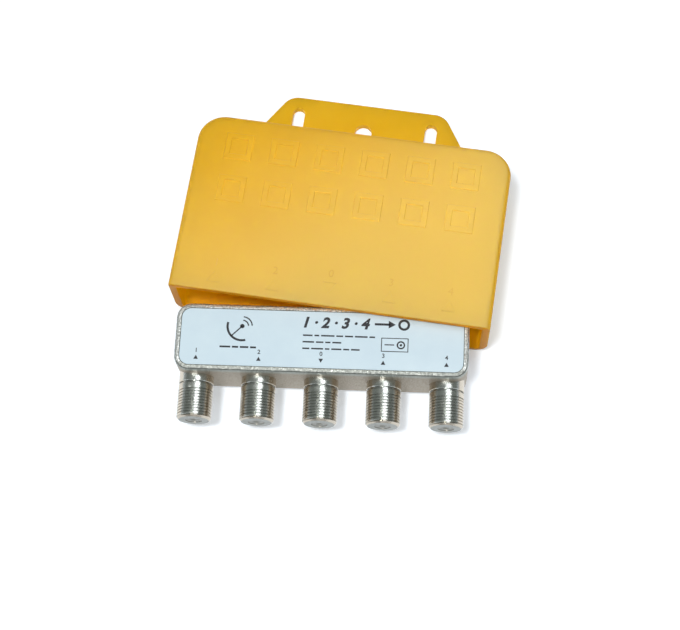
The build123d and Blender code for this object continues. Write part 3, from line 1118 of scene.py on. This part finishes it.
@dataclass
class PortRow:
    """The five threaded barrels with their insulators and contacts."""

    ports: tuple[str, ...] = ("1", "2", "receiver", "3", "4")
    length: float = 12.05
    thread_radius: float = 4.7
    thread_depth: float = 0.26
    pitch: float = 25.4 / 32
    # The thread's outline: where the root ends, and where the crest begins and ends, as shares of the pitch
    root_share: float = 0.2
    rise_share: float = 0.36
    fall_share: float = 0.84
    # Turns that are wound past both ends, and cut off
    spare_turns: int = 2
    collar_length: float = 2.0
    collar_round: float = 0.12
    groove_width: float = 0.5
    groove_radius: float = 4.25
    shoulder_length: float = 1.5
    chamfer: float = 0.6
    shank_length: float = 2.0
    bore_radius: float = 3.3
    lip_radius: float = 2.2
    lip_thickness: float = 0.25
    steps: int = 56
    # The insulator's outline as (radius, y) from the lower side of the box
    insulator_outline: tuple[tuple[float, float], ...] = (
        (1.1, 2.0),
        (3.25, 2.0),
        (3.25, -11.75),
        (2.15, -11.75),
        (2.15, -11.95),
        (0.95, -11.95),
        (0.5, -11.5),
        (0.5, -9.5),
        (1.1, -9.5),
    )

    def build(self, place: SwitchPlace) -> None:
        """Build every port.

        Args:
            place: Where the switch lies.
        """
        nickel = NICKEL_FINISH.build()
        plastic = POLYETHYLENE_FINISH.build()
        bronze = BRONZE_FINISH.build()
        for port in self.ports:
            plug = lathe(self.insulator_outline, self.steps // 2)
            for name, bm, material, slot, node in (
                (f"threaded_barrel_{port}", self.barrel(), nickel, Slot.NICKEL, f"port_barrel_{port}"),
                (f"port_plug_{port}", plug, plastic, Slot.INSULATOR, f"port_insulator_{port}"),
            ):
                bm.transform(place.port_place(port))
                finish_piece(name, bm, material, Body.SWITCH, nodes=(node,))
            dress_node(f"port_contact_{port}", bronze)

    @property
    def groove_end(self) -> float:
        """The place of the groove's far side along a barrel."""
        return -self.collar_length - self.groove_width

    @property
    def thread_start(self) -> float:
        """The place along a barrel where the plain shoulder ends and the thread starts."""
        return self.groove_end - self.shoulder_length

    def thread(self) -> Shape:
        """Wind the thread from the shoulder to the end, open at both ends.

        Returns:
            The thread's surface about the Y axis.
        """
        bm = bmesh.new()
        top = self.thread_start
        crest = self.thread_radius
        root = crest - self.thread_depth
        flanks = ((root, self.root_share), (crest, self.rise_share), (crest, self.fall_share))
        shares = ((root, 0), *flanks, (root, 1))
        line = [bm.verts.new((radius, top + self.pitch * (1 - share), 0)) for radius, share in shares]
        edges = [bm.edges.new(pair) for pair in zip(line, line[1:])]
        turns = math.ceil((self.length + top) / self.pitch) + self.spare_turns
        bmesh.ops.spin(
            bm,
            geom=[*line, *edges],
            cent=(0, 0, 0),
            axis=(0, -1, 0),
            dvec=(0, -self.pitch / self.steps, 0),
            angle=math.tau * turns,
            steps=turns * self.steps,
        )
        bmesh.ops.remove_doubles(bm, verts=bm.verts[:], dist=MERGE_MM)
        for height, away in ((top, 1), (-self.length, -1)):
            everything = [*bm.verts, *bm.edges, *bm.faces]
            bmesh.ops.bisect_plane(
                bm, geom=everything, plane_co=(0, height, 0), plane_no=(0, away, 0), clear_outer=True
            )
        self.cut_chamfer(bm)
        return bm

    def cut_chamfer(self, bm: Shape) -> None:
        """Cut the thread back to the cone at its end.

        Args:
            bm: The thread's surface.
        """
        for vert in bm.verts:
            limit = self.thread_radius - max(0, self.chamfer - self.length - vert.co.y)
            radius = math.hypot(vert.co.x, vert.co.z)
            if radius > limit:
                vert.co.x *= limit / radius
                vert.co.z *= limit / radius

    def next_ring(
        self, bm: Shape, edges: list[bmesh.types.BMEdge], radius: float, y: float
    ) -> list[bmesh.types.BMEdge]:
        """Carry an open end on to a new ring.

        Args:
            bm: The shape that grows.
            edges: The edges of the open end.
            radius: The new ring's radius.
            y: Where the new ring is.

        Returns:
            The edges of the new open end.
        """
        result = bmesh.ops.extrude_edge_only(bm, edges=edges)
        new_verts = {item for item in result["geom"] if isinstance(item, bmesh.types.BMVert)}
        for vert in new_verts:
            scale = radius / math.hypot(vert.co.x, vert.co.z)
            vert.co = (vert.co.x * scale, y, vert.co.z * scale)
        new_edges = [item for item in result["geom"] if isinstance(item, bmesh.types.BMEdge)]
        return [edge for edge in new_edges if set(edge.verts) <= new_verts]

    def barrel(self) -> Shape:
        """Make one barrel: thread, end lip and bore one way, shoulder, groove, collar and shank the other.

        Returns:
            The closed barrel about the Y axis, from the lower side of the box.
        """
        bm = self.thread()
        open_edges = [edge for edge in bm.edges if edge.is_boundary]
        far = [edge for edge in open_edges if edge.verts[0].co.y < -self.length / 2]
        near = [edge for edge in open_edges if edge.verts[0].co.y > -self.length / 2]
        for radius, y in (
            (self.lip_radius, -self.length),
            (self.lip_radius, self.lip_thickness - self.length),
            (self.bore_radius, self.lip_thickness - self.length),
        ):
            far = self.next_ring(bm, far, radius, y)
        for radius, y in (
            (self.thread_radius, self.thread_start),
            (self.thread_radius, self.groove_end - self.collar_round),
            (self.thread_radius - self.collar_round, self.groove_end),
            (self.groove_radius, self.groove_end),
            (self.groove_radius, -self.collar_length),
            (self.thread_radius - self.collar_round, -self.collar_length),
            (self.thread_radius, self.collar_round - self.collar_length),
            (self.thread_radius, self.shank_length),
            (self.bore_radius, self.shank_length),
        ):
            near = self.next_ring(bm, near, radius, y)
        bmesh.ops.bridge_loops(bm, edges=[*far, *near])
        bmesh.ops.recalc_face_normals(bm, faces=bm.faces[:])
        self.mark_reflection_and_valleys(bm)
        return bm

    def mark_reflection_and_valleys(self, bm: Shape) -> None:
        """Note how deep in the thread each point lies, and how far it faces sideways, full on the end:
        where shade and a warm reflection are painted.

        Args:
            bm: The finished barrel about the Y axis.
        """
        valley = bm.verts.layers.float.new(VALLEY)
        warm_reflection = bm.verts.layers.float.new(WARM_REFLECTION)
        for vert in bm.verts:
            radius = math.hypot(vert.co.x, vert.co.z)
            at_end = vert.co.y <= self.chamfer - self.length
            vert[warm_reflection] = 1.0 if at_end else abs(vert.co.x) / radius
            if vert.co.y <= -self.collar_length:
                vert[valley] = min(1, max(0, (self.thread_radius - radius) / self.thread_depth))


@dataclass
class BoardParts:
    """The circuit board and what stands on it, kept from the frame."""

    finishes: tuple[tuple[Finish, tuple[str, ...]], ...] = (
        (LAMINATE_FINISH, ("circuit_board",)),
        (
            RESIN_FINISH,
            ("controller_chip", "voltage_regulator", "switching_diodes", "switching_transistors"),
        ),
        (ALUMINIUM_FINISH, ("smoothing_capacitor",)),
        (FERRITE_FINISH, ("port_chokes",)),
        (CAPACITOR_FINISH, ("chip_capacitors",)),
        (RESISTOR_FINISH, ("chip_resistors",)),
    )

    def build(self) -> None:
        """Give the nodes of each finish its material."""
        for finish, nodes in self.finishes:
            material = finish.build()
            for node in nodes:
                dress_node(node, material)


@dataclass(frozen=True)
class Lamp:
    """A soft rectangular lamp that faces the object. Its place, its size and its aim are in metres."""

    name: str
    place: Triple
    size: tuple[float, float]
    watts: float
    colour: str
    aim: Triple = (0.0, -0.04, 0.0)

    def hang(self) -> None:
        """Add the lamp to the scene."""
        light = bpy.data.lights.new(self.name, "AREA")
        light.shape = "RECTANGLE"
        light.size, light.size_y = self.size
        light.energy = self.watts
        light.color = linear(self.colour)[:3]
        lamp = bpy.data.objects.new(self.name, light)
        lamp.location = self.place
        lamp.rotation_euler = (Vector(self.aim) - lamp.location).to_track_quat("-Z", "Y").to_euler()
        bpy.context.scene.collection.objects.link(lamp)


@dataclass
class Studio:
    """The pale floor, the soft lamps, the surroundings and the camera."""

    floor_size: float = 6.0
    floor_drop_mm: float = 0.15
    # Paper, matt and bleached: an even white that takes a soft shadow
    floor_name: str = "matt_paper"
    floor_colour: str = "#E4EAF2"
    floor_glow: tuple[float, float, float, float] = (0.35, 0.35, 0.35, 1.0)
    # The rays that see the floor glow, the mirrored and the refracted ones among them
    glow_rays: tuple[str, ...] = ("Is Camera Ray", "Is Glossy Ray", "Is Transmission Ray")
    camera_mm: Triple = (38.6, -193.808, 423.243)
    camera_turn: Triple = (18.5691, 1.9781, 8.9986)
    lens: float = 83.919
    sensor: float = 36.0
    nearest: float = 0.01
    lamps: tuple[Lamp, ...] = (
        Lamp("key", place=(-0.22, -0.4, 1.6), size=(0.25, 0.25), watts=16.8, colour="#FFFFFF"),
        Lamp("window", place=(0.17, 0.14, 0.8), size=(0.28, 0.4), watts=1.15, colour="#F8FBFF"),
        Lamp("fill", place=(0.35, -0.95, 0.5), size=(0.9, 0.5), watts=1.2, colour="#F4F7FF"),
    )
    zenith: str = "#858A86"
    horizon: str = "#D0D4D8"
    sky_strength: float = 0.75
    # Where the pale horizon ends and the dark overhead begins, as the height on a unit sphere
    haze_top: float = 0.15
    dark_from: float = 0.4

    def build(self) -> None:
        """Set up the whole studio."""
        self.floor()
        for lamp in self.lamps:
            lamp.hang()
        self.surroundings()
        self.camera()
        bpy.context.scene.view_settings.view_transform = "Standard"

    def floor(self) -> None:
        """Make the floor, which looks white but keeps the shadow."""
        bm = bmesh.new()
        bmesh.ops.create_grid(bm, x_segments=1, y_segments=1, size=self.floor_size / 2)
        bmesh.ops.translate(bm, verts=bm.verts[:], vec=(0, 0, -self.floor_drop_mm * MM))
        mesh = bpy.data.meshes.new("floor")
        bm.to_mesh(mesh)
        bm.free()
        mesh.materials.append(self.paper())
        floor = bpy.data.objects.new("floor", mesh)
        bpy.context.scene.collection.objects.link(floor)

    def paper(self) -> Material:
        """Make the floor's paper, which glows a little for the rays that see it.

        Returns:
            The material.
        """
        material = bpy.data.materials.new(self.floor_name)
        tree = empty_tree(material)
        diffuse = add_node(tree, "BsdfDiffuse", inputs={"Color": linear(self.floor_colour)})
        path = add_node(tree, "LightPath")
        seen = path.outputs[self.glow_rays[0]]
        for ray in self.glow_rays[1:]:
            rays = {0: seen, 1: path.outputs[ray]}
            seen = add_node(tree, "Math", settings={"operation": "MAXIMUM"}, inputs=rays).outputs[0]
        glow = add_node(tree, "Emission", inputs={"Color": self.floor_glow, "Strength": seen})
        both = add_node(tree, "AddShader", inputs={0: diffuse.outputs[0], 1: glow.outputs[0]})
        add_node(tree, "OutputMaterial", inputs={"Surface": both.outputs[0]})
        return material

    def surroundings(self) -> None:
        """Make a room that is pale at the horizon and darker overhead."""
        bpy.context.scene.world = bpy.data.worlds.new("studio")
        tree = empty_tree(bpy.context.scene.world)
        place = add_node(tree, "TexCoord")
        parts = add_node(tree, "SeparateXYZ", inputs={"Vector": place.outputs["Generated"]})
        span = {"From Min": self.haze_top, "From Max": self.dark_from}
        share = add_node(tree, "MapRange", settings=SMOOTH, inputs={"Value": parts.outputs["Z"], **span})
        colours = {MIX_FIRST: linear(self.horizon), MIX_SECOND: linear(self.zenith)}
        colours[MIX_SHARE] = share.outputs["Result"]
        colour = add_node(tree, "Mix", settings=COLOUR_MIX, inputs=colours).outputs[MIX_RESULT]
        light = add_node(tree, "Background", inputs={"Strength": self.sky_strength, "Color": colour})
        add_node(tree, "OutputWorld", inputs={"Surface": light.outputs[0]})

    def camera(self) -> None:
        """Set the camera where the photograph was taken from."""
        data = bpy.data.cameras.new("camera")
        data.sensor_fit = "HORIZONTAL"
        data.sensor_width = self.sensor
        data.lens = self.lens
        data.clip_start = self.nearest
        camera = bpy.data.objects.new("camera", data)
        camera.location = Vector(self.camera_mm) * MM
        camera.rotation_euler = Euler([math.radians(angle) for angle in self.camera_turn])
        bpy.context.scene.collection.objects.link(camera)
        bpy.context.scene.camera = camera


def main() -> None:
    """Build the object and its studio in order."""
    logging.basicConfig(level=logging.INFO, format="%(message)s")
    place = SwitchPlace()
    RainHood().build()
    CastBox().build(place.matrix)
    PortRow().build(place)
    BoardParts().build()
    Studio().build()


if __name__ == "__main__":
    main()
